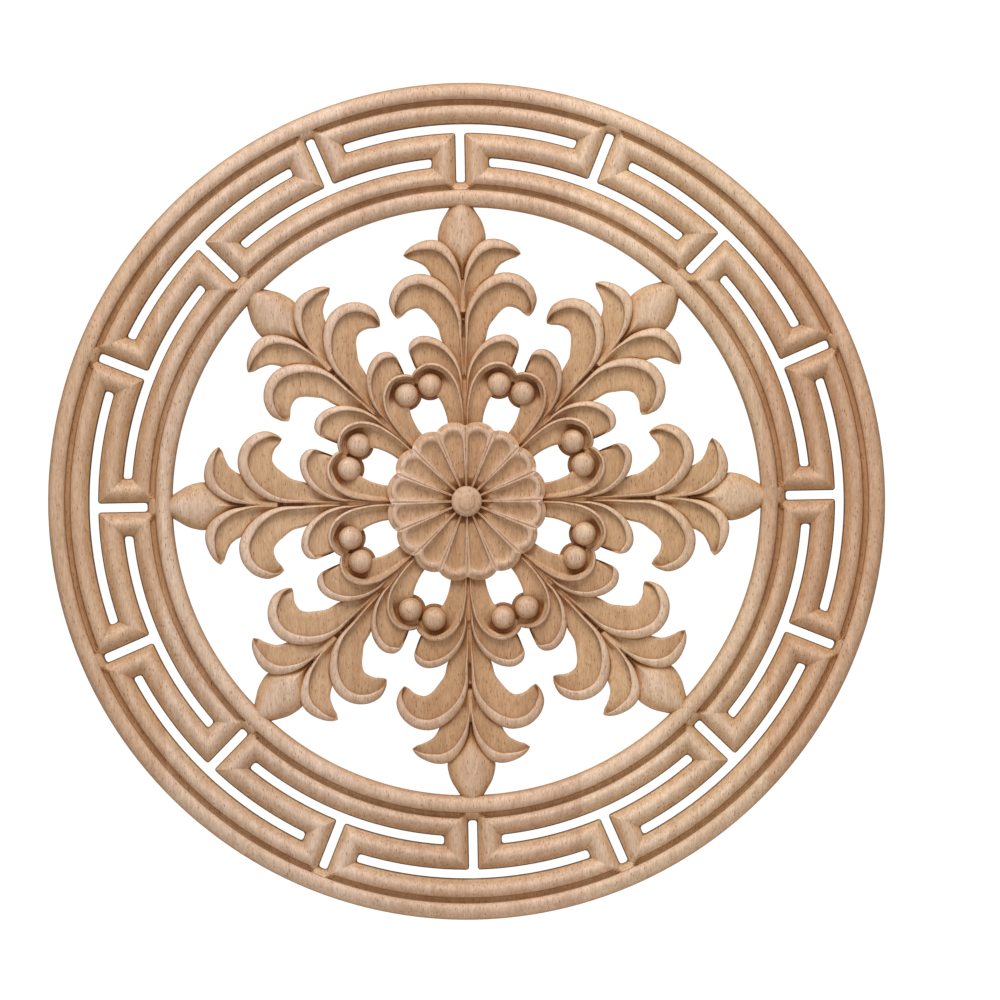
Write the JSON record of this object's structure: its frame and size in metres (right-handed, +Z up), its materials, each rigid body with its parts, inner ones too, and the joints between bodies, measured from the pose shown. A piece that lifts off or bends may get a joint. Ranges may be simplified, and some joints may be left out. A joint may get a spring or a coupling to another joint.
{
  "type": "wood applique",
  "caption": "Round openwork wall medallion carved in wood, with a key fret ring, leaf sprays and a rosette centre.",
  "frame": {"origin": "centre of the flat back, behind the rosette", "axes": "+Y out of the back into the wall, +Z up along one leaf spray, +X to the right seen from the front; the carving faces -Y"},
  "size_m": [0.3, 0.015, 0.3],
  "materials": {
    "wood": "bare sanded beech"
  },
  "bodies": {
    "root": {"carved_medallion": "wood"}
  },
  "joints": []
}
